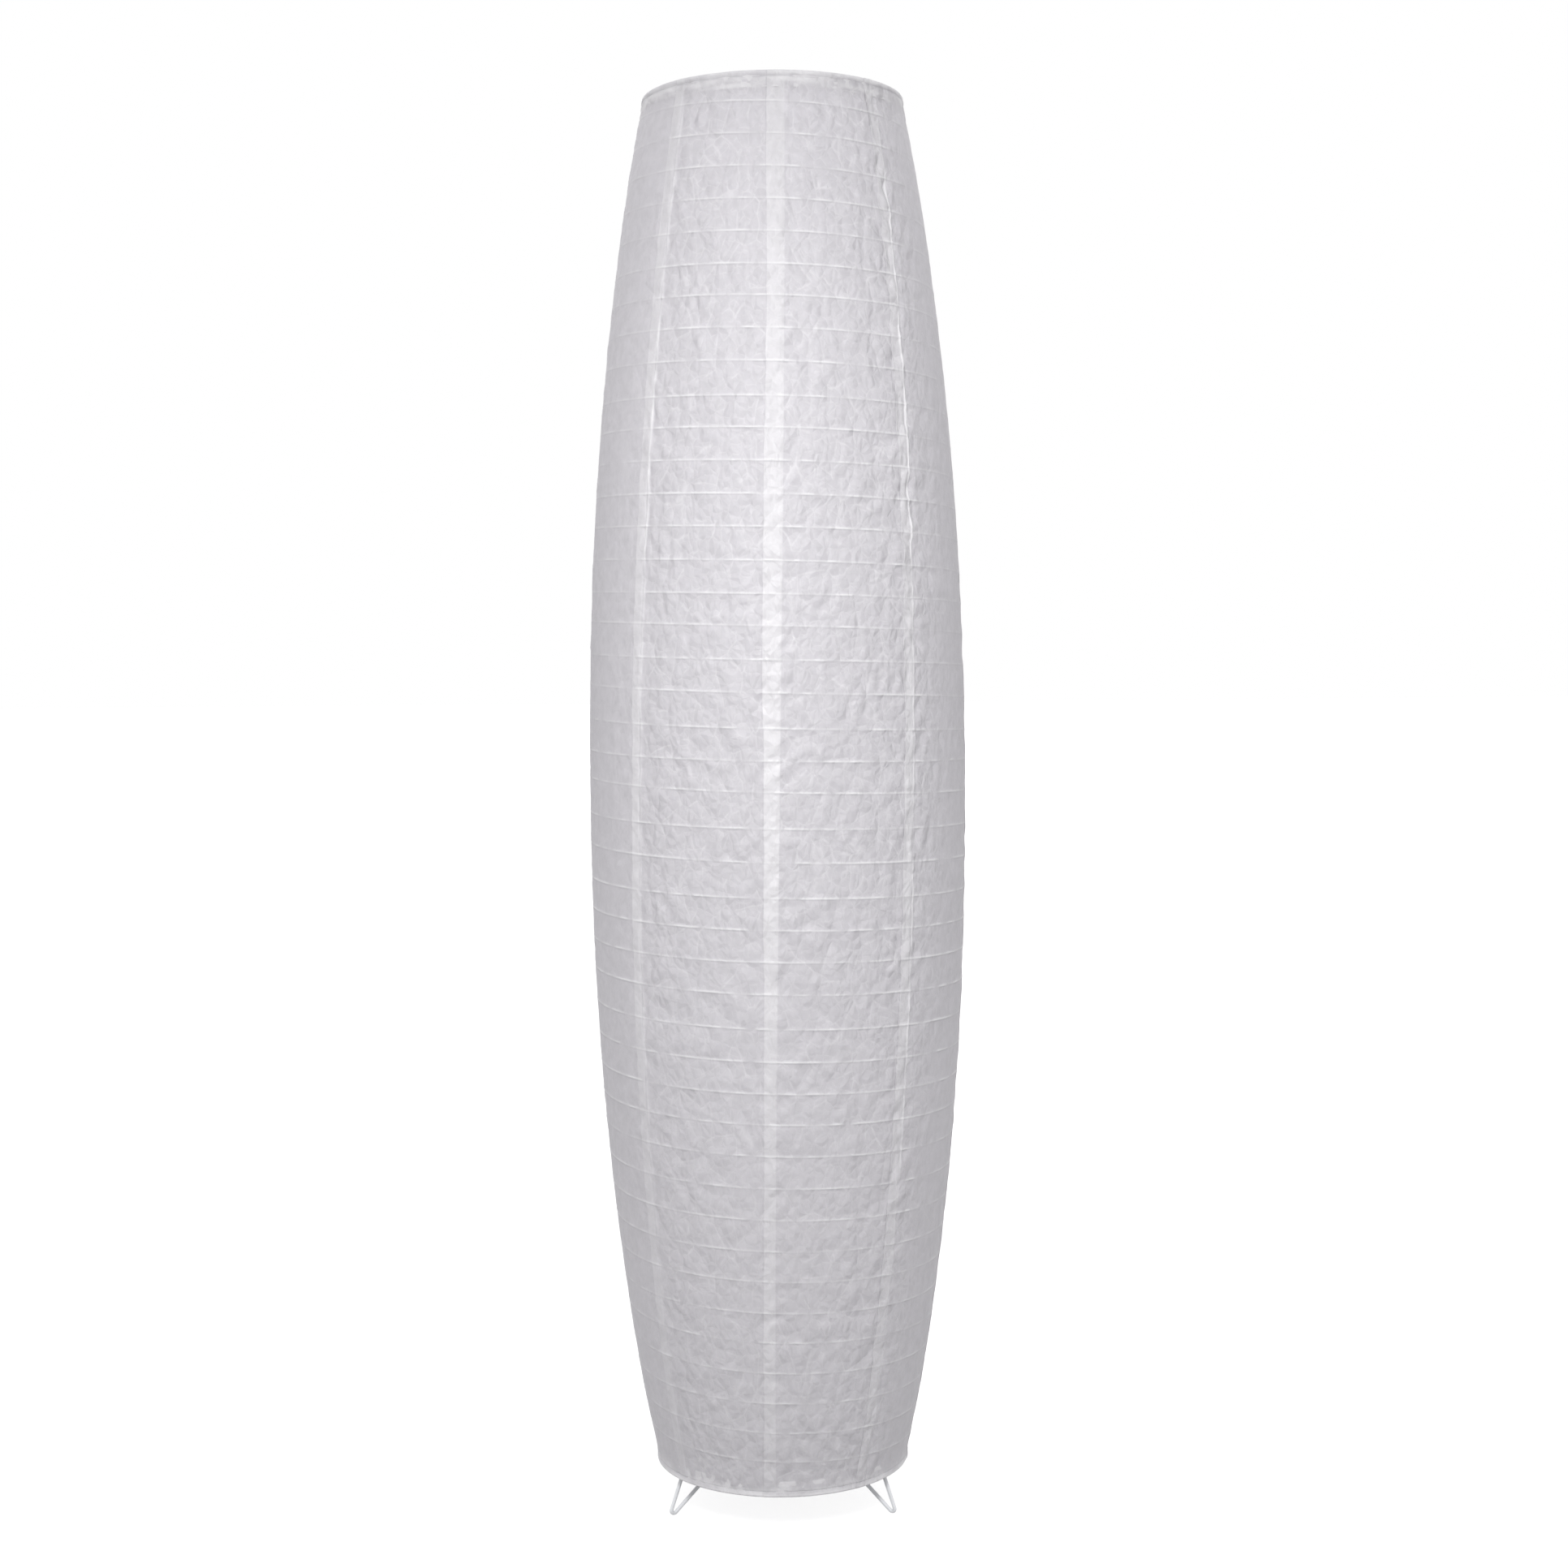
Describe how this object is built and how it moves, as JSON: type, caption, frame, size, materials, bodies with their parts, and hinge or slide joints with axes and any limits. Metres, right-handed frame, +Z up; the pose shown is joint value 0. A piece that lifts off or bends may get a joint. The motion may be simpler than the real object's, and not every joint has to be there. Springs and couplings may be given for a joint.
{
  "type": "paper lantern floor lamp",
  "caption": "Free-standing floor lamp: a tall barrel of white lantern paper on a helical rib wire, carried by a wire spider on upright rods over bent wire feet.",
  "frame": {"origin": "on the floor, in the middle between the feet, on the lamp's vertical axis", "axes": "+Z up along the lamp's axis; -Y towards the viewer in the picture, +X to the viewer's right"},
  "size_m": [0.336, 0.336, 1.25],
  "materials": {
    "lantern_paper": "matt mulberry paper, white with a lavender cast, crinkled",
    "coated_wire": "white powder coat on bent steel wire",
    "coated_plate": "white powder coat on pressed sheet steel",
    "coated_tube": "white powder coat on steel tube",
    "spring_wire": "bright drawn steel wire",
    "zinc_steel": "zinc plated steel",
    "contact_brass": "bright brass",
    "holder_plastic": "white moulded thermoset, half gloss",
    "insert_ceramic": "unglazed white ceramic",
    "gland_plastic": "white nylon, fine matt",
    "cup_plastic": "white nylon, fine matt",
    "bulb_metal": "plain bright aluminium",
    "bulb_insulator": "black gloss insulator",
    "bulb_housing": "white moulded plastic, half gloss",
    "bulb_diffuser": "opal diffuser, satin"
  },
  "bodies": {
    "frame": {"leg_front_left": "coated_wire", "leg_front_right": "coated_wire", "leg_rear": "coated_wire", "base_ring": "coated_wire", "holder_plate": "coated_plate", "lower_rod_front_left": "coated_tube", "lower_rod_front_right": "coated_tube", "lower_rod_rear": "coated_tube", "middle_rod_front_left": "coated_tube", "middle_rod_front_right": "coated_tube", "middle_rod_rear": "coated_tube", "upper_rod_front_left": "coated_tube", "upper_rod_front_right": "coated_tube", "upper_rod_rear": "coated_tube", "lower_ferrules": "coated_tube", "upper_ferrules": "coated_tube", "rod_tips": "coated_tube", "cord_gland": "gland_plastic", "nipple": "zinc_steel", "nipple_nut": "zinc_steel", "nipple_washer": "zinc_steel", "holder_cap": "holder_plastic", "holder_insert": "insert_ceramic", "terminal_screws": "zinc_steel", "centre_contact": "contact_brass", "side_contact": "contact_brass", "thread_sleeve": "contact_brass", "holder_body": "holder_plastic"},
    "bulb": {"bulb_contact": "bulb_metal", "bulb_insulator": "bulb_insulator", "bulb_cap": "bulb_metal", "bulb_housing": "bulb_housing", "bulb_diffuser": "bulb_diffuser"},
    "shade": {"paper_panel_1": "lantern_paper", "paper_panel_2": "lantern_paper", "paper_panel_3": "lantern_paper", "paper_panel_4": "lantern_paper", "paper_panel_5": "lantern_paper", "paper_panel_6": "lantern_paper", "paper_panel_7": "lantern_paper", "paper_panel_8": "lantern_paper", "rib_wire": "spring_wire", "top_hoop": "spring_wire", "top_hem": "lantern_paper", "spider_ring": "spring_wire", "spider_arm_front_left": "spring_wire", "spider_arm_front_right": "spring_wire", "spider_arm_rear": "spring_wire", "rod_cups": "cup_plastic"},
    "shade_bottom": {"bottom_hoop": "spring_wire", "bottom_hem": "lantern_paper"}
  },
  "joints": [
    {"name": "shade_lift", "type": "slide", "parent": "frame", "child": "shade", "axis": [0, 0, 1], "range_m": [0, 1.26]},
    {"name": "shade_gather", "type": "slide", "parent": "shade", "child": "shade_bottom", "axis": [0, 0, 1], "range_m": [0, 1.1], "deforming": ["paper_panel_1", "paper_panel_2", "paper_panel_3", "paper_panel_4", "paper_panel_5", "paper_panel_6", "paper_panel_7", "paper_panel_8", "rib_wire"]},
    {"name": "bulb_unscrew", "type": "slide", "parent": "frame", "child": "bulb", "axis": [0, 0, 1], "range_m": [0, 0.06]}
  ]
}
